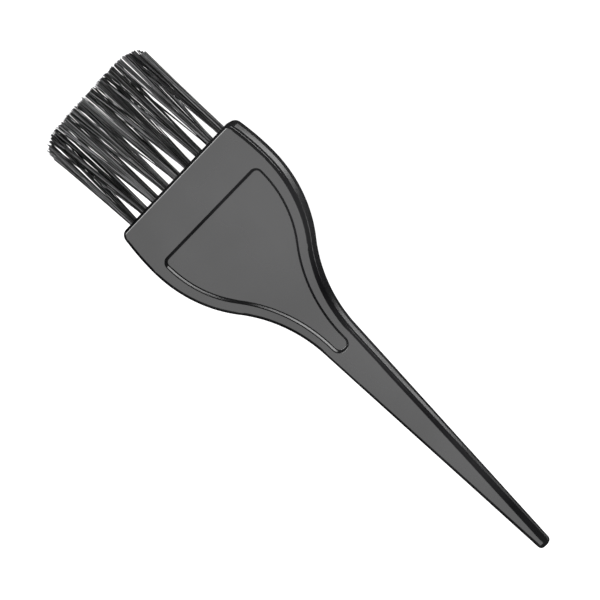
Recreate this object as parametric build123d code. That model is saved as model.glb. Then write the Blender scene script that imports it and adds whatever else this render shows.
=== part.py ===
"""Hair tint brush: a one-piece moulded paddle handle with a row of nylon tufts stapled into its root edge.

The brush lies on its back. +Y runs from the tail tip to the bristle tips, +X across the paddle, +Z up through
its front face. The origin is under the middle of the brush, on the surface that it lies on.
Stations are distances from the tail tip, in millimetres; move_to_origin() shifts the finished pieces.
"""

import os
from math import acos, asin, atan2, cos, degrees, radians, sin, tan

from build123d import *

# Overall sizes
TOTAL_LENGTH = 210.0
BRISTLE_LENGTH = 39.8
HEAD_HALF_WIDTH = 29.1
TAIL_THICKNESS = 5.0
ROOT_THICKNESS = 9.0

# Plan outline of the handle
TAIL_HALF_WIDTH = 2.15
TAIL_CORNER_RADIUS = 1.9
NECK_STATION = 95.0
NECK_HALF_WIDTH = 6.8
NECK_RADIUS = 48.0
HEAD_RADIUS = 46.1
SHOULDER_RADIUS = 85.0
ROOT_CORNER_RADIUS = 3.0
EDGE_RADIUS = 1.4

# The side walls lean in by the draft from a parting line halfway up. The tail grows rounder towards its tip
DRAFT = 3.0
TAIL_JOIN_STATION = 80.0
TAIL_EDGE_RADIUS = 1.8
TAIL_END_RADIUS = 1.5

# Shallow panel sunk into both faces of the paddle
PANEL_DEPTH = 0.8
PANEL_WALL_SLOPE = 45.0
PANEL_LOW_STATION = 91.3
PANEL_NECK_STATION = 94.5
PANEL_HIGH_STATION = 154.0
PANEL_LOW_HALF_WIDTH = 3.2
PANEL_HIGH_HALF_WIDTH = 23.9
PANEL_NECK_RADIUS = 50.0
PANEL_HEAD_RADIUS = 38.0
PANEL_CORNER_RADIUS = 2.6
PANEL_RIM_RADIUS = 0.6

# Tufts and the staples that hold them
TUFT_COUNT = 9
TUFT_PITCH = 5.6
HOLE_RADIUS = 1.75
HOLE_DEPTH = 12.0
TUFT_RADIUS = 1.73
TUFT_TIP_RADIUS = 2.62
TRIM_HALF_WIDTH = 24.4
TRIM_CORNER_RADIUS = 6.0
STAPLE_LENGTH = 4.2
STAPLE_HEIGHT = 1.4
STAPLE_THICKNESS = 0.35
STAPLE_ABOVE_HOLE_END = 1.6

# Where a tuft bends: a cantilever turns about a point this share of its free length out from its root
FLEX_PIVOT_SHARE = 0.15
FLEX_GAP = 1.35
SOCKET_RADIUS = 1.8

ROOT_STATION = TOTAL_LENGTH - BRISTLE_LENGTH
TUFT_HEIGHT = ROOT_THICKNESS / 2
PIVOT_STATION = ROOT_STATION + FLEX_PIVOT_SHARE * BRISTLE_LENGTH
WIDE = 200.0


def flank(start, lean, neck_radius, head_radius, head_half_width):
    """One side of a paddle: an arc that turns outwards at the neck, then one that turns back to straight up."""
    turn = acos(
        (start.X + neck_radius * cos(lean) + head_radius - head_half_width) / (neck_radius + head_radius)
    )
    heading = (sin(lean), cos(lean))
    neck = JernArc(start, heading, neck_radius, -degrees(turn - lean))
    head = JernArc(neck @ 1, neck % 1, head_radius, degrees(turn))
    return neck, head


def closed_face(right_side):
    """The face inside a right-hand half outline that starts and ends on the centre line, and its mirror image."""
    left_side = [mirror(edge, about=Plane.YZ) for edge in right_side]
    return make_face(right_side + left_side)


def rounded(face, radius, *spots):
    """The face with the corners nearest to the given points rounded in plan."""
    corners = [min(face.vertices(), key=lambda v: (v.center() - Vector(x, y)).length) for x, y in spots]
    return fillet(corners, radius)


def handle_plan():
    lean = atan2(NECK_HALF_WIDTH - TAIL_HALF_WIDTH, NECK_STATION)
    tail_corner = (TAIL_HALF_WIDTH, 0)
    tail_end = Line((0, 0), tail_corner)
    tail = Line(tail_corner, (NECK_HALF_WIDTH, NECK_STATION))
    neck, head = flank(tail @ 1, lean, NECK_RADIUS, HEAD_RADIUS, HEAD_HALF_WIDTH)
    widest_station = (head @ 1).Y
    shoulder_turn = degrees(asin((ROOT_STATION - widest_station) / SHOULDER_RADIUS))
    shoulder = JernArc(head @ 1, (0, 1), SHOULDER_RADIUS, shoulder_turn)
    root_corner = shoulder @ 1
    root = Line(root_corner, (0, ROOT_STATION))
    face = closed_face([tail_end, tail, neck, head, shoulder, root])
    face = rounded(face, ROOT_CORNER_RADIUS, (root_corner.X, ROOT_STATION), (-root_corner.X, ROOT_STATION))
    return rounded(face, TAIL_CORNER_RADIUS, tail_corner, (-TAIL_HALF_WIDTH, 0))


def panel_plan():
    low_corner = (PANEL_LOW_HALF_WIDTH, PANEL_LOW_STATION)
    end = Line((0, PANEL_LOW_STATION), low_corner)
    stem = Line(low_corner, (PANEL_LOW_HALF_WIDTH, PANEL_NECK_STATION))
    neck, head = flank(stem @ 1, 0, PANEL_NECK_RADIUS, PANEL_HEAD_RADIUS, PANEL_HIGH_HALF_WIDTH)
    side = Line(head @ 1, (PANEL_HIGH_HALF_WIDTH, PANEL_HIGH_STATION))
    top = Line(side @ 1, (0, PANEL_HIGH_STATION))
    face = closed_face([end, stem, neck, head, side, top])
    high_corner = (PANEL_HIGH_HALF_WIDTH, PANEL_HIGH_STATION)
    face = rounded(face, PANEL_CORNER_RADIUS, high_corner, (-PANEL_HIGH_HALF_WIDTH, PANEL_HIGH_STATION))
    end_radius = 0.9 * PANEL_LOW_HALF_WIDTH
    return rounded(face, end_radius, low_corner, (-PANEL_LOW_HALF_WIDTH, PANEL_LOW_STATION))


def side_wedge():
    """The handle's side profile, a wedge from tail to root."""
    profile = Polyline(
        (0, 0, 0), (0, ROOT_STATION, 0), (0, ROOT_STATION, ROOT_THICKNESS), (0, 0, TAIL_THICKNESS), close=True
    )
    return extrude(make_face(profile), WIDE / 2, both=True)


def level(share):
    """A plane that share of the way from the back face to the front face, all the way along."""
    rise = atan2(share * (ROOT_THICKNESS - TAIL_THICKNESS), ROOT_STATION)
    return Plane(origin=(0, 0, share * TAIL_THICKNESS), x_dir=(1, 0, 0), z_dir=(0, -sin(rise), cos(rise)))


def drafted_half(plan, way):
    """Everything on one side of the parting line, front for way 1 and back for way -1, leaning in by the draft."""
    parting = level(0.5)
    far_plan = offset(plan, -ROOT_THICKNESS * tan(radians(DRAFT)))
    return loft([parting * plan, parting * Pos(0, 0, way * ROOT_THICKNESS) * far_plan], ruled=True)


def panel_pocket(share, way):
    """What is taken out of a face for its panel: level(share) is the face, and way points out of it along Z."""
    plan = panel_plan()
    run = PANEL_DEPTH / tan(radians(PANEL_WALL_SLOPE))
    above = Pos(0, 0, way * PANEL_DEPTH) * offset(plan, run)
    below = Pos(0, 0, -way * PANEL_DEPTH) * offset(plan, -run)
    return level(share) * loft([above, below], ruled=True)


def tail_end():
    """The tail's section at its tip: two drafted halves, as the rest of the side wall, with wider rounded edges."""
    half = TAIL_THICKNESS / 2
    face_half_width = TAIL_HALF_WIDTH - half * tan(radians(DRAFT))
    right = [(face_half_width, -half), (TAIL_HALF_WIDTH, 0), (face_half_width, half)]
    left = [(-x, -y) for x, y in right]
    section = make_face(Polyline(*right, *left, close=True))
    corners = [vertex for vertex in section.vertices() if abs(vertex.Y) > half / 2]
    return Plane(origin=(0, 0, half), x_dir=(1, 0, 0), z_dir=(0, -1, 0)) * fillet(corners, TAIL_EDGE_RADIUS)


def along_y(shape, x, station):
    """A shape modelled along +Z, turned to run along +Y and set down at a station on a tuft's line."""
    return Pos(x, station, TUFT_HEIGHT) * Rot(X=-90) * shape


def tuft_places():
    middle = (TUFT_COUNT - 1) / 2
    return [(number + 1, (number - middle) * TUFT_PITCH) for number in range(TUFT_COUNT)]


def make_staple(x):
    station = ROOT_STATION - HOLE_DEPTH + STAPLE_ABOVE_HOLE_END + STAPLE_HEIGHT / 2
    return Pos(x, station, TUFT_HEIGHT) * Box(STAPLE_LENGTH, STAPLE_HEIGHT, STAPLE_THICKNESS)


def make_handle(staples):
    plan = handle_plan()
    body = (drafted_half(plan, 1) + drafted_half(plan, -1)) & side_wedge()
    flat_faces = body.faces().filter_by(lambda face: abs(face.normal_at().Z) > cos(radians(5)))
    body = fillet(flat_faces.edges(), EDGE_RADIUS)
    body = split(body, bisect_by=Plane(origin=(0, TAIL_JOIN_STATION, 0), z_dir=(0, 1, 0)), keep=Keep.TOP)
    join = body.faces().sort_by(Axis.Y)[0]
    tail = loft([tail_end(), join], ruled=True)
    tail = fillet(tail.faces().sort_by(Axis.Y)[0].edges(), TAIL_END_RADIUS)
    body -= panel_pocket(1, 1)
    body -= panel_pocket(0, -1)
    flat_faces = body.faces().filter_by(lambda face: abs(face.normal_at().Z) > cos(radians(5)))
    rims = [edge for face in flat_faces for wire in face.inner_wires() for edge in wire.edges()]
    floors = [edge for face in flat_faces if not face.inner_wires() for edge in face.edges()]
    body = fillet(rims + floors, PANEL_RIM_RADIUS) + tail
    for _, x in tuft_places():
        upright_hole = Cylinder(HOLE_RADIUS, HOLE_DEPTH, align=(Align.CENTER, Align.CENTER, Align.MIN))
        body -= along_y(upright_hole, x, ROOT_STATION - HOLE_DEPTH)
    for staple in staples:
        body -= staple
    return body


def make_tuft_fold(x, staple):
    """The part of a tuft that doesn't move: folded round its staple in the hole, up to just short of the pivot."""
    low = ROOT_STATION - HOLE_DEPTH
    length = PIVOT_STATION - FLEX_GAP - low
    stem = along_y(Cylinder(TUFT_RADIUS, length, align=(Align.CENTER, Align.CENTER, Align.MIN)), x, low)
    socket = Pos(x, PIVOT_STATION, TUFT_HEIGHT) * Sphere(SOCKET_RADIUS)
    return stem - staple - socket


def make_trim():
    """The block that the bristle tips are cut to: a straight edge with rounded ends."""
    height = TOTAL_LENGTH - ROOT_STATION
    plan = Pos(0, ROOT_STATION + height / 2) * Rectangle(2 * TRIM_HALF_WIDTH, height)
    plan = rounded(plan, TRIM_CORNER_RADIUS, (TRIM_HALF_WIDTH, TOTAL_LENGTH), (-TRIM_HALF_WIDTH, TOTAL_LENGTH))
    return extrude(plan, WIDE, both=True)


def make_tuft(x, trim):
    """The free part of a tuft, widening to its tips, with a ball at the pivot so that it can turn in place."""
    length = TOTAL_LENGTH - PIVOT_STATION
    cone = Cone(TUFT_RADIUS, TUFT_TIP_RADIUS, length, align=(Align.CENTER, Align.CENTER, Align.MIN))
    ball = Sphere(TUFT_RADIUS)
    return along_y(cone + ball, x, PIVOT_STATION) & trim


def move_to_origin(shape):
    return Pos(0, -TOTAL_LENGTH / 2, 0) * shape


def main():
    os.makedirs("parts", exist_ok=True)
    trim = make_trim()
    nodes = {}
    for number, x in tuft_places():
        staple = make_staple(x)
        nodes[f"staple_{number}"] = staple
        nodes[f"tuft_fold_{number}"] = make_tuft_fold(x, staple)
        nodes[f"bristle_tuft_{number}"] = make_tuft(x, trim)
    nodes["handle"] = make_handle([nodes[f"staple_{number}"] for number, _ in tuft_places()])
    for name, shape in nodes.items():
        export_step(move_to_origin(shape), f"parts/{name}.step")
    pivot = PIVOT_STATION - TOTAL_LENGTH / 2
    print(f"tuft pivots at y {pivot:.2f}, z {TUFT_HEIGHT:.2f}; root face at y {ROOT_STATION - TOTAL_LENGTH / 2:.2f}")


main()
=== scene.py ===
# %% [markdown]
# # A hair tint brush
# A tint brush paints colour onto hair. It is one moulding of black plastic, a thin tail that widens into a flat
# paddle, with nine tufts of nylon filament stapled into the paddle's root edge. The hard parts come ready made from
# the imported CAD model, which we call the frame. This lesson adds what the CAD model can't show: the finish of
# the plastic and the steel, and every single filament of the tufts.

# %% Load the frame
from math import cos, pi, radians, sin

import bpy
from mathutils import Matrix, Vector


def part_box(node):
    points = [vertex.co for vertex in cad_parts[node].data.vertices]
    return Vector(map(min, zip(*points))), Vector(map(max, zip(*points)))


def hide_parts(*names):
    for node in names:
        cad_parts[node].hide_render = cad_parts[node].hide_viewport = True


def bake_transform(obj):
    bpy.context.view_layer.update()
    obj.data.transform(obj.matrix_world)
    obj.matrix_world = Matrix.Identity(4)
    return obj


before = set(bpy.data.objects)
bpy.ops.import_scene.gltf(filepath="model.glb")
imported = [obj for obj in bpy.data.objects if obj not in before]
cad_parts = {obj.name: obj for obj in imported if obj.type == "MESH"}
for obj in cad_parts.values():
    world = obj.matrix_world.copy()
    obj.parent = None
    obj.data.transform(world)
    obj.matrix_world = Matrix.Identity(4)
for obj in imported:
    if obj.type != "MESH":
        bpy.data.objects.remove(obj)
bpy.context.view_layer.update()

# %% [markdown]
# ## Sizes come from the frame
# Blender works in metres, and every CAD part is already where it belongs. So we read where the root edge, the staples
# and the tips are, and never type a position that the frame already knows. Sizes that only we need, such as how thick
# a filament is, are named in millimetres and turned into metres by one small constant.

# %% Read the places that everything else is built from
MM = 0.001
TUFT_NUMBERS = range(1, 10)

root_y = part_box("handle")[1].y
tip_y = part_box("bristle_tuft_5")[1].y
stem_low, stem_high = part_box("tuft_fold_5")
staple_low, staple_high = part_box("staple_5")
hole_radius = (stem_high.x - stem_low.x) / 2
tuft_z = (stem_low.z + stem_high.z) / 2
staple_half_thickness = (staple_high.z - staple_low.z) / 2
tuft_x = {}
for number in TUFT_NUMBERS:
    low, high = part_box(f"tuft_fold_{number}")
    tuft_x[number] = (low.x + high.x) / 2
print(f"root edge at y {root_y:.4f} m, tips at y {tip_y:.4f} m, hole radius {hole_radius:.5f} m")

# %% [markdown]
# ## Camera
# The brush lies on its back and is seen from above, rolled a little about its own length so that one long side wall
# shows. A camera is easiest to aim here by writing down its three directions: where it looks back to, and which way is
# right and up in its picture. The brush's length then runs along the picture's diagonal. A long lens keeps the two
# long sides nearly parallel.

# %% Place the camera
ROLL_DEGREES = 23.0
ROLL = radians(ROLL_DEGREES)
DIAGONAL = radians(45.2)
LENS_MM = 150.0
DISTANCE = 0.814
AIM_Y = 0.0083

length_way = Vector((0, 1, 0))
side_way = Vector((cos(ROLL), 0, -sin(ROLL)))
back_way = Vector((sin(ROLL), 0, cos(ROLL)))
right_way = -cos(DIAGONAL) * length_way + sin(DIAGONAL) * side_way
up_way = sin(DIAGONAL) * length_way + cos(DIAGONAL) * side_way
aim = length_way * AIM_Y + Vector((0, 0, tuft_z))

camera_data = bpy.data.cameras.new("camera")
camera_data.lens = LENS_MM
camera_data.clip_start = 0.05
camera = bpy.data.objects.new("camera", camera_data)
turn = Matrix((right_way, up_way, back_way)).transposed().to_4x4()
camera.matrix_world = Matrix.Translation(aim + back_way * DISTANCE) @ turn
bpy.context.scene.collection.objects.link(camera)
bpy.context.scene.camera = camera
print("camera looks at", tuple(round(value, 4) for value in aim))

# %% [markdown]
# ## Studio
# Black gloss plastic has almost no colour of its own: what we see is the room in it. A flat face is a mirror for one
# patch of the room, so one large soft light placed where the front face reflects it turns the whole face an even grey,
# while the rounded edges, which look elsewhere, stay nearly black. Four smaller lights draw lines: one on the rounded
# root edge, two low ones on the upper half of the right side wall, and a long thin one on the panel's sloped wall.
# Only reflections see these lights. An even pale sky lights everything else, and it is dimmed in reflections, or it
# would wash the black out.

# %% Helpers for lights
def soft_light(name, place, target, width, height, radiance):
    """A light that only reflections see. Its width is up and round the brush, its height is along the brush."""
    data = bpy.data.lights.new(name, "AREA")
    data.shape = "RECTANGLE"
    data.size = width
    data.size_y = height
    data.energy = radiance * width * height * pi
    light = bpy.data.objects.new(name, data)
    away = (Vector(place) - Vector(target)).normalized()
    across = length_way.cross(away).normalized()
    along = away.cross(across)
    turn = Matrix((across, along, away)).transposed().to_4x4()
    light.matrix_world = Matrix.Translation(place) @ turn
    light.visible_diffuse = False
    light.visible_camera = False
    scene.collection.objects.link(light)


def around(degrees_from_up, distance, y=0.0):
    """A place beside the brush's middle, that many degrees from straight up towards +X."""
    angle = radians(degrees_from_up)
    return Vector((distance * sin(angle), y, distance * cos(angle)))


# %% Sky and lights
SKY = 1.15
SKY_IN_GLOSS = 0.03
FACE_LIGHT_DISTANCE = 1.2
FACE_LIGHT_Y = 0.13

scene = bpy.context.scene
scene.view_settings.view_transform = "Standard"
world = bpy.data.worlds.new("pale_room")
world.use_nodes = True
sky = world.node_tree.nodes["Background"]
ray = world.node_tree.nodes.new("ShaderNodeLightPath")
strength = world.node_tree.nodes.new("ShaderNodeMapRange")
strength.inputs["To Min"].default_value = SKY
strength.inputs["To Max"].default_value = SKY_IN_GLOSS
world.node_tree.links.new(ray.outputs["Is Glossy Ray"], strength.inputs["Value"])
world.node_tree.links.new(strength.outputs["Result"], sky.inputs["Strength"])
sky.inputs["Color"].default_value = (1.0, 1.0, 1.0, 1.0)
scene.world = world

brush_middle = (0.0, 0.02, 0.0)
root_edge = (0.0, 0.065, 0.0)
head_wall = (0.029, 0.0, 0.004)
neck_wall = (0.008, 0.0, 0.004)
face_light_place = around(-ROLL_DEGREES, FACE_LIGHT_DISTANCE, FACE_LIGHT_Y)
face_middle = Vector((0.0, FACE_LIGHT_Y, 0.0))
soft_light("face_light", face_light_place, face_middle, width=0.8, height=1.24, radiance=2.75)
soft_light("root_light", (-0.42, 0.60, 0.87), root_edge, width=0.6, height=0.2, radiance=15.0)
soft_light("wall_card", (0.313, 0.035, -0.425), head_wall, width=0.13, height=0.33, radiance=3.1)
soft_light("wall_fill", (0.291, -0.22, -0.408), neck_wall, width=0.1, height=0.3, radiance=1.7)
soft_light("edge_light", (0.86, 0.33, 0.37), brush_middle, width=0.12, height=0.95, radiance=10.0)

# %% [markdown]
# ## A short way to write node trees
# Materials and Geometry Nodes are both trees of small nodes. Making each node takes several lines, so two small
# classes do it for us. `Bench` adds any node in one call: its settings first, then the values or wires of its sockets.
# `Wire` stands for a node's output and knows arithmetic, so `1 - wire * 2` adds the Math nodes by itself.

# %% The bench and its wires
class Wire:
    """One output of a node. Arithmetic on it adds Math nodes to its tree."""

    def __init__(self, bench, socket):
        self.bench = bench
        self.socket = socket

    def math(self, operation, first, second=0.0):
        return self.bench.node("ShaderNodeMath", {"operation": operation}, {0: first, 1: second})

    def __add__(self, other):
        return self.math("ADD", self, other)

    __radd__ = __add__

    def __mul__(self, other):
        return self.math("MULTIPLY", self, other)

    __rmul__ = __mul__

    def __sub__(self, other):
        return self.math("SUBTRACT", self, other)

    def __rsub__(self, other):
        return self.math("SUBTRACT", other, self)

    def __truediv__(self, other):
        return self.math("DIVIDE", self, other)

    def __pow__(self, other):
        return self.math("POWER", self, other)

    def __abs__(self):
        return self.math("ABSOLUTE", self)

    def least(self, other):
        return self.math("MINIMUM", self, other)

    def most(self, other):
        return self.math("MAXIMUM", self, other)

    def over(self, other):
        return self.math("GREATER_THAN", self, other)

    def sign(self):
        return self.math("SIGN", self)

    def rounded(self):
        return self.math("ROUND", self)

    def modulo(self, other):
        return self.math("MODULO", self, other)

    def cosine(self):
        return self.math("COSINE", self)

    def sine(self):
        return self.math("SINE", self)


class Bench:
    """A node tree to build on."""

    def __init__(self, tree):
        self.tree = tree

    def node(self, kind, settings=None, sockets=None, out=0):
        """Adds a node: settings first, then a value or a Wire for each named socket. Gives one output as a Wire."""
        made = self.tree.nodes.new(kind)
        for name, value in (settings or {}).items():
            setattr(made, name, value)
        for name, value in (sockets or {}).items():
            if isinstance(value, Wire):
                self.tree.links.new(value.socket, made.inputs[name])
            else:
                made.inputs[name].default_value = value
        return Wire(self, made.outputs[out]) if len(made.outputs) else made

    def parts(self, vector):
        """The X, Y and Z of a vector as three wires."""
        made = self.node("ShaderNodeSeparateXYZ", {}, {0: vector}).socket.node
        return [Wire(self, output) for output in made.outputs]

    def vector(self, x=0.0, y=0.0, z=0.0):
        return self.node("ShaderNodeCombineXYZ", {}, {"X": x, "Y": y, "Z": z})


# %% A material on a bench
MIX_COLOUR_A = 6
MIX_COLOUR_B = 7
MIX_COLOUR_OUT = 2


def new_material(name):
    """An empty material: its bench and its Principled shader's node."""
    material = bpy.data.materials.new(name)
    material.use_nodes = True
    material.node_tree.nodes.clear()
    bench = Bench(material.node_tree)
    shader = bench.node("ShaderNodeBsdfPrincipled")
    bench.node("ShaderNodeOutputMaterial", {}, {"Surface": shader})
    return material, bench, shader.socket.node


def mixed_colour(bench, factor, first, second):
    """A colour between two others. The Mix node keeps its colour sockets at fixed places."""
    colours = {"Factor": factor, MIX_COLOUR_A: first, MIX_COLOUR_B: second}
    return bench.node("ShaderNodeMix", {"data_type": "RGBA"}, colours, out=MIX_COLOUR_OUT)


# %% [markdown]
# ## Moulded black plastic
# The handle is injection moulded, so its surface copies a polished steel mould: glossy, with a very slight orange peel
# and soft waves where the plastic shrank as it cooled. A faint haze of handling makes the gloss uneven.

# %% The handle's plastic
WAVE_SCALE = 45.0
PEEL_SCALE = 900.0
HAZE_SCALE = 130.0
CLOUD_SCALE = 28.0
WAVE_HEIGHT = 0.2
PEEL_HEIGHT = 0.0015
BUMP_DISTANCE = 0.0008
POLISHED = 0.1
HAZE_ROUGHNESS = 0.1
CLEAN_BLACK = (0.003, 0.003, 0.0035, 1.0)
# The lighter black serves both random dusty patches and a painted sheen towards +X.
DUST_AND_SHEEN_BLACK = (0.019, 0.019, 0.02, 1.0)
CLOUD_START = 0.35
CLOUD_CONTRAST = 3.0
PAINTED_SHEEN_PER_METRE_ACROSS = 12.0


def paint_handle():
    material, bench, shader = new_material("moulded_black_plastic")
    place = bench.node("ShaderNodeTexCoord", out="Object")
    waves = bench.node("ShaderNodeTexNoise", {}, {"Vector": place, "Scale": WAVE_SCALE, "Detail": 2.0})
    peel = bench.node("ShaderNodeTexNoise", {}, {"Vector": place, "Scale": PEEL_SCALE, "Detail": 3.0})
    haze = bench.node("ShaderNodeTexNoise", {}, {"Vector": place, "Scale": HAZE_SCALE, "Detail": 5.0})
    roughness = POLISHED + haze * HAZE_ROUGHNESS
    bench.tree.links.new(roughness.socket, shader.inputs["Roughness"])
    cloud = bench.node(
        "ShaderNodeTexNoise", {}, {"Vector": place, "Scale": CLOUD_SCALE, "Detail": 3.0, "Roughness": 0.4}
    )
    across, _, _ = bench.parts(place)
    # Painted sheen: the colour turns lighter towards +X, standing in for light falling more brightly on that side, and
    # the cloud noise adds random dusty patches.
    dust_and_sheen = (cloud - CLOUD_START) * CLOUD_CONTRAST + across * PAINTED_SHEEN_PER_METRE_ACROSS
    dust_and_sheen = dust_and_sheen.most(0.0).least(1.0)
    colour = mixed_colour(bench, dust_and_sheen, CLEAN_BLACK, DUST_AND_SHEEN_BLACK)
    bench.tree.links.new(colour.socket, shader.inputs["Base Color"])
    height = waves * WAVE_HEIGHT + peel * PEEL_HEIGHT
    bump = bench.node("ShaderNodeBump", {}, {"Strength": 1.0, "Distance": BUMP_DISTANCE, "Height": height})
    bench.tree.links.new(bump.socket, shader.inputs["Normal"])
    shader.inputs["IOR"].default_value = 1.5
    return material


plastic = paint_handle()
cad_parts["handle"].data.materials.clear()
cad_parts["handle"].data.materials.append(plastic)
print("handle finish:", plastic.name)

# %% [markdown]
# ## Staples
# Each tuft is folded over a flat piece of galvanised wire, which bites into the hole's wall and holds it for good.
# Only someone who breaks the brush open sees them, so a plain brushed zinc look is enough.

# %% The staples' zinc
SPANGLES_PER_METRE = 1500.0
ZINC_GREY = (0.6, 0.61, 0.62, 1.0)


def paint_staples():
    material, bench, shader = new_material("galvanised_wire")
    place = bench.node("ShaderNodeTexCoord", out="Object")
    spangle = bench.node("ShaderNodeTexVoronoi", {}, {"Vector": place, "Scale": SPANGLES_PER_METRE}, out="Distance")
    bench.tree.links.new((0.3 + spangle * 0.25).socket, shader.inputs["Roughness"])
    shader.inputs["Base Color"].default_value = ZINC_GREY
    shader.inputs["Metallic"].default_value = 1.0
    return material


zinc = paint_staples()
for number in TUFT_NUMBERS:
    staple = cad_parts[f"staple_{number}"]
    staple.data.materials.clear()
    staple.data.materials.append(zinc)
print("staples finished:", len(TUFT_NUMBERS))

# %% [markdown]
# ## Nylon filament
# The filaments are drawn black nylon: smooth along their length, so each one carries a fine streak of light. They
# aren't all equally dark, and the attribute `tone`, which the next step stores on every filament, makes them differ.
# The streaks are partly a real gloss from the coat and partly a painted highlight: a light grey painted into the
# colour along noise streaks, more of it on filaments of higher tone.

# %% The filaments' nylon
PAINTED_STREAKS_ACROSS = 1500.0
PAINTED_STREAKS_ALONG = 25.0
DARK_NYLON = (0.001, 0.001, 0.001, 1.0)
PAINTED_HIGHLIGHT_NYLON = (0.14, 0.14, 0.145, 1.0)
TONE_SHARE = 1.5
PAINTED_STREAK_SHARE = 1.2
DULL_SHARE = 0.3


def paint_filaments():
    material, bench, shader = new_material("black_nylon")
    tone = bench.node("ShaderNodeAttribute", {"attribute_name": "tone"}, out="Fac")
    across, along, up = bench.parts(bench.node("ShaderNodeTexCoord", out="Object"))
    painted_streak_place = bench.vector(across * PAINTED_STREAKS_ACROSS, along * PAINTED_STREAKS_ALONG, up * PAINTED_STREAKS_ACROSS)
    painted_streak = bench.node("ShaderNodeTexNoise", {}, {"Vector": painted_streak_place, "Scale": 1.0, "Detail": 1.0})
    # Painted highlight: the light grey mixed into the colour stands in for light glinting along the filaments, and the
    # same amount also weights the real coat.
    shine_and_painted_highlight = (tone * TONE_SHARE - DULL_SHARE + (painted_streak - 0.5) * PAINTED_STREAK_SHARE).most(0.0)
    colour = mixed_colour(bench, shine_and_painted_highlight ** 2.0, DARK_NYLON, PAINTED_HIGHLIGHT_NYLON)
    bench.tree.links.new(colour.socket, shader.inputs["Base Color"])
    bench.tree.links.new(shine_and_painted_highlight.least(1.0).socket, shader.inputs["Coat Weight"])
    bench.tree.links.new((0.3 + tone * 0.1).socket, shader.inputs["Roughness"])
    shader.inputs["Coat Roughness"].default_value = 0.25
    shader.inputs["Coat IOR"].default_value = 1.7
    shader.inputs["IOR"].default_value = 1.3
    return material


nylon = paint_filaments()
print("filament finish:", nylon.name)

# %% [markdown]
# ## A tuft as a rule
# A tuft is a bundle of filaments folded in half over its staple. That is a rule, so Geometry Nodes can follow it:
# pack points like honeycomb into half of the hole, stand a line on each point, and bend each line by arithmetic: round
# the staple, up both sides of the hole, and out to the trimmed tips, leaning a little more the further out it gets.
# Neighbours lean together in clumps, because filaments cling to one another, and a few stray on their own.

# %% The tree's named inputs
TREE_INPUTS = {
    "Hole Radius": "NodeSocketFloat",
    "Filament Diameter": "NodeSocketFloat",
    "Packing Pitch": "NodeSocketFloat",
    "Columns": "NodeSocketInt",
    "Rows": "NodeSocketInt",
    "Staple Gap": "NodeSocketFloat",
    "Fold Y": "NodeSocketFloat",
    "Root Y": "NodeSocketFloat",
    "Tip Y": "NodeSocketFloat",
    "Centre X": "NodeSocketFloat",
    "Centre Z": "NodeSocketFloat",
    "Splay": "NodeSocketFloat",
    "Tuft Lean": "NodeSocketFloat",
    "Clump": "NodeSocketFloat",
    "Stray": "NodeSocketFloat",
    "Pack Lean": "NodeSocketFloat",
    "Pack Half Width": "NodeSocketFloat",
    "Corner": "NodeSocketFloat",
    "Left Drop": "NodeSocketFloat",
    "Right Drop": "NodeSocketFloat",
    "Ragged": "NodeSocketFloat",
    "Seed": "NodeSocketInt",
    "Nylon": "NodeSocketMaterial",
}
HONEYCOMB = 0.866
FOLD_STEPS = 2
LEG_STEPS = 12
FOLD_SHARE = FOLD_STEPS / (FOLD_STEPS + LEG_STEPS)
QUARTER_TURN = radians(90)
TONE_SEED_SHIFT = 77
CLING_SCALE = 900.0
CLING_SEED_STEP = 0.013
SPLAY_SHARE_IN_Z = 0.5
DRAWN_IN_SHARE = 0.85
BEND_MEAN = 0.15
BEND_SPREAD = 0.15
PROFILE_SIDES = 5


def new_geometry_tree(name, inputs):
    """A Geometry Nodes tree with named inputs: its bench, and its inputs as wires."""
    tree = bpy.data.node_groups.new(name, "GeometryNodeTree")
    tree.interface.new_socket("Geometry", in_out="OUTPUT", socket_type="NodeSocketGeometry")
    for label, kind in inputs.items():
        tree.interface.new_socket(label, in_out="INPUT", socket_type=kind)
    bench = Bench(tree)
    source = bench.node("NodeGroupInput").socket.node
    return bench, {label: Wire(bench, source.outputs[label]) for label in inputs}


# %% Pack the folded filaments into the hole
def seat_points(bench, size):
    """Points in honeycomb rows over half of the hole, each remembering its seat and its number."""
    pitch = size["Packing Pitch"]
    row_pitch = pitch * HONEYCOMB
    grid = bench.node(
        "GeometryNodeMeshGrid",
        {},
        {
            "Size X": pitch * (size["Columns"] - 1),
            "Size Y": row_pitch * (size["Rows"] - 1),
            "Vertices X": size["Columns"],
            "Vertices Y": size["Rows"],
        },
    )
    x, y, _ = bench.parts(bench.node("GeometryNodeInputPosition"))
    row = (y / row_pitch + (size["Rows"] - 1) / 2).rounded()
    odd = row.modulo(2.0)
    seat_x = x + pitch * 0.5 * odd - pitch * 0.25
    seat_z = row * row_pitch + size["Staple Gap"] + size["Filament Diameter"] / 2
    seat = bench.vector(seat_x, 0.0, seat_z)
    points = bench.node("GeometryNodeSetPosition", {}, {"Geometry": grid, "Position": seat})
    limit = size["Hole Radius"] - size["Filament Diameter"] / 2
    here_x, _, here_z = bench.parts(bench.node("GeometryNodeInputPosition"))
    outside = (here_x * here_x + here_z * here_z).over(limit * limit)
    points = bench.node(
        "GeometryNodeDeleteGeometry", {"domain": "POINT"}, {"Geometry": points, "Selection": outside}
    )
    points = bench.node(
        "GeometryNodeStoreNamedAttribute",
        {"data_type": "FLOAT_VECTOR", "domain": "POINT"},
        {"Geometry": points, "Name": "seat", "Value": bench.node("GeometryNodeInputPosition")},
    )
    return bench.node(
        "GeometryNodeStoreNamedAttribute",
        {"data_type": "INT", "domain": "POINT"},
        {"Geometry": points, "Name": "number", "Value": bench.node("GeometryNodeInputIndex")},
    )


def stored(bench, name, kind):
    return bench.node("GeometryNodeInputNamedAttribute", {"data_type": kind}, {"Name": name})


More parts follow.
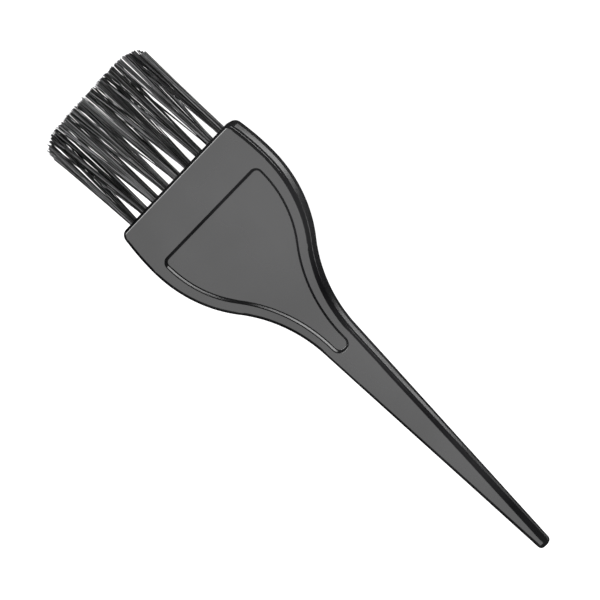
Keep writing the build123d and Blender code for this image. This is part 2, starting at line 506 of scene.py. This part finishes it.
# %% Bend each line into a folded filament
def folded_place(bench, size):
    """Where a point of a filament goes: round the staple, up the hole, and out to its trimmed tip."""
    along = bench.node("GeometryNodeSplineParameter") * 2 - 1
    side = along.sign()
    reach = abs(along)
    seat_x, _, seat_z = bench.parts(stored(bench, "seat", "FLOAT_VECTOR"))
    leg_z = seat_z * side
    leg_number = stored(bench, "number", "INT") * 2 + along.over(0.0)

    chance = bench.node(
        "FunctionNodeRandomValue",
        {"data_type": "FLOAT_VECTOR"},
        {0: (-1.0, -1.0, -1.0), 1: (1.0, 1.0, 1.0), "ID": leg_number, "Seed": size["Seed"]},
    )
    chance_x, chance_y, chance_z = bench.parts(chance)
    cling = bench.node(
        "ShaderNodeTexNoise",
        {},
        {
            "Vector": bench.vector(seat_x, leg_z, size["Seed"] * CLING_SEED_STEP),
            "Scale": CLING_SCALE,
            "Detail": 1.0,
        },
        out="Color",
    )
    cling_x, _, cling_z = bench.parts(cling)

    lean_x = (
        seat_x * size["Splay"]
        + (cling_x - 0.5) * 2 * size["Clump"]
        + chance_x * abs(chance_x) * size["Stray"]
        + size["Tuft Lean"]
    )
    lean_z = (
        leg_z * size["Splay"] * SPLAY_SHARE_IN_Z
        + (cling_z - 0.5) * size["Clump"]
        + chance_z * size["Stray"] * 0.5
    )
    free_x = size["Centre X"] + seat_x + lean_x
    excess = (abs(free_x) - size["Pack Half Width"]).most(0.0)
    lean_x = lean_x - free_x.sign() * excess * DRAWN_IN_SHARE
    tip_x = size["Centre X"] + seat_x + lean_x

    into_corner = ((abs(tip_x) - size["Pack Half Width"] + size["Corner"]) / size["Corner"]).most(0.0).least(1.0)
    is_right = tip_x.over(0.0)
    corner_drop = size["Left Drop"] + (size["Right Drop"] - size["Left Drop"]) * is_right
    rounding = 1 - (1 - into_corner * into_corner) ** 0.5
    leg_tip_y = size["Tip Y"] - corner_drop * rounding - (chance_y + 1) * 0.5 * size["Ragged"]

    fold = (reach / FOLD_SHARE).least(1.0) * QUARTER_TURN
    up_leg = ((reach - FOLD_SHARE) / (1 - FOLD_SHARE)).most(0.0)
    fold_y = size["Fold Y"] - seat_z * fold.cosine()
    y = fold_y + up_leg * (leg_tip_y - size["Fold Y"])
    out = ((y - size["Root Y"]) / (leg_tip_y - size["Root Y"])).most(0.0)
    bend = BEND_MEAN + chance_z * BEND_SPREAD
    lean_share = out * (1 - bend) + out * out * bend
    x = size["Centre X"] + seat_x + lean_x * lean_share + size["Pack Lean"] * out
    z = size["Centre Z"] + leg_z * fold.sine() + lean_z * lean_share
    return bench.vector(x, y, z)


# %% The whole tuft tree
def make_tuft_tree():
    bench, size = new_geometry_tree("folded_tuft", TREE_INPUTS)
    seats = seat_points(bench, size)
    line = bench.node(
        "GeometryNodeResampleCurve",
        {},
        {"Curve": bench.node("GeometryNodeCurvePrimitiveLine"), "Count": 2 * (FOLD_STEPS + LEG_STEPS) + 1},
    )
    lines = bench.node("GeometryNodeInstanceOnPoints", {}, {"Points": seats, "Instance": line})
    lines = bench.node("GeometryNodeRealizeInstances", {}, {"Geometry": lines})
    filaments = bench.node(
        "GeometryNodeSetPosition", {}, {"Geometry": lines, "Position": folded_place(bench, size)}
    )
    tone = bench.node(
        "FunctionNodeRandomValue",
        {"data_type": "FLOAT"},
        {2: 0.0, 3: 1.0, "ID": stored(bench, "number", "INT"), "Seed": size["Seed"] + TONE_SEED_SHIFT},
        out=1,
    )
    filaments = bench.node(
        "GeometryNodeStoreNamedAttribute",
        {"data_type": "FLOAT", "domain": "POINT"},
        {"Geometry": filaments, "Name": "tone", "Value": tone},
    )
    profile = bench.node(
        "GeometryNodeCurvePrimitiveCircle", {}, {"Resolution": PROFILE_SIDES, "Radius": size["Filament Diameter"] / 2}
    )
    tubes = bench.node(
        "GeometryNodeCurveToMesh", {}, {"Curve": filaments, "Profile Curve": profile, "Fill Caps": True}
    )
    tubes = bench.node("GeometryNodeSetShadeSmooth", {}, {"Geometry": tubes, "Shade Smooth": True})
    whole = bench.node("GeometryNodeRealizeInstances", {}, {"Geometry": tubes})
    painted = bench.node("GeometryNodeSetMaterial", {}, {"Geometry": whole, "Material": size["Nylon"]})
    bench.node("NodeGroupOutput", {}, {"Geometry": painted})
    return bench.tree


tuft_tree = make_tuft_tree()
print("nodes in the tuft tree:", len(tuft_tree.nodes))

# %% [markdown]
# ## Nine tufts
# The same tree makes every tuft. Only its place and its seed change, so no two tufts are alike, yet each run gives
# the same brush. The result is turned into a plain mesh and the modifier is thrown away. In use the filaments bend
# from the root edge.

# %% What the filaments measure
FILAMENT_DIAMETER = 0.36 * MM
PACKING_PITCH = 0.385 * MM

SEED_STEP = 11
TUFT_LEANS = (0.9, -0.9, -1.2, -0.3, -0.9, 0.9, 0.1, 1.5, 0.6)

TUFT_SIZES = {
    "Hole Radius": hole_radius,
    "Filament Diameter": FILAMENT_DIAMETER,
    "Packing Pitch": PACKING_PITCH,
    "Columns": int(2 * hole_radius / PACKING_PITCH) + 2,
    "Rows": int(hole_radius / (HONEYCOMB * PACKING_PITCH)) + 1,
    "Staple Gap": staple_half_thickness,
    "Fold Y": staple_low.y,
    "Root Y": root_y,
    "Tip Y": tip_y,
    "Centre Z": tuft_z,
    "Splay": 1.9,
    "Clump": 0.8 * MM,
    "Stray": 2.6 * MM,
    "Pack Lean": -2.3 * MM,
    "Pack Half Width": 24.0 * MM,
    "Corner": 10.0 * MM,
    "Left Drop": 6.2 * MM,
    "Right Drop": 4.2 * MM,
    "Ragged": 0.8 * MM,
    "Nylon": nylon,
}


# %% Make and hang the tufts
def make_tuft(number):
    """The plain mesh object of one tuft."""
    mesh = bpy.data.meshes.new(f"tuft_base_{number}")
    base = bpy.data.objects.new(f"tuft_base_{number}", mesh)
    scene.collection.objects.link(base)
    modifier = base.modifiers.new("tuft", "NODES")
    modifier.node_group = tuft_tree
    lean = TUFT_LEANS[number - 1] * MM
    sizes = dict(TUFT_SIZES, **{"Centre X": tuft_x[number], "Tuft Lean": lean, "Seed": SEED_STEP * number})
    for item in tuft_tree.interface.items_tree:
        if item.in_out == "INPUT":
            modifier[item.identifier] = sizes[item.name]
    bpy.context.view_layer.update()
    graph = bpy.context.evaluated_depsgraph_get()
    plain = bpy.data.meshes.new_from_object(base.evaluated_get(graph))
    bpy.data.objects.remove(base)
    plain.name = f"nylon_tuft_{number}"
    tuft = bpy.data.objects.new(f"nylon_tuft_{number}", plain)
    scene.collection.objects.link(tuft)
    return tuft


for number in TUFT_NUMBERS:
    tuft = make_tuft(number)
    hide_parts(f"tuft_fold_{number}", f"bristle_tuft_{number}")
    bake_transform(tuft)
    print(tuft.name, "faces:", len(tuft.data.polygons))

# %% [markdown]
# ## Floor
# A plain pale sheet, far larger than the picture, lies 25 mm low, so that the bristles have room to bend down. It
# glows a little, so it stays as pale as the sky. The gloss doesn't mirror it, or the side walls would turn white.

# %% Lay the floor
FLOOR_HALF = 3.0
FLOOR_DROP = 25 * MM
FLOOR_GLOW = 0.8


def make_floor():
    material, _, shader = new_material("pale_floor")
    shader.inputs["Base Color"].default_value = (0.5, 0.5, 0.5, 1.0)
    shader.inputs["Roughness"].default_value = 0.9
    shader.inputs["Emission Color"].default_value = (1.0, 1.0, 1.0, 1.0)
    shader.inputs["Emission Strength"].default_value = FLOOR_GLOW
    mesh = bpy.data.meshes.new("floor")
    signs = [(-1, -1), (1, -1), (1, 1), (-1, 1)]
    corners = [(x * FLOOR_HALF, y * FLOOR_HALF, -FLOOR_DROP) for x, y in signs]
    mesh.from_pydata(corners, [], [(0, 1, 2, 3)])
    mesh.materials.append(material)
    floor = bpy.data.objects.new("floor", mesh)
    scene.collection.objects.link(floor)
    floor.visible_glossy = False
    floor.visible_shadow = False
    return floor


floor = make_floor()
print("floor laid")
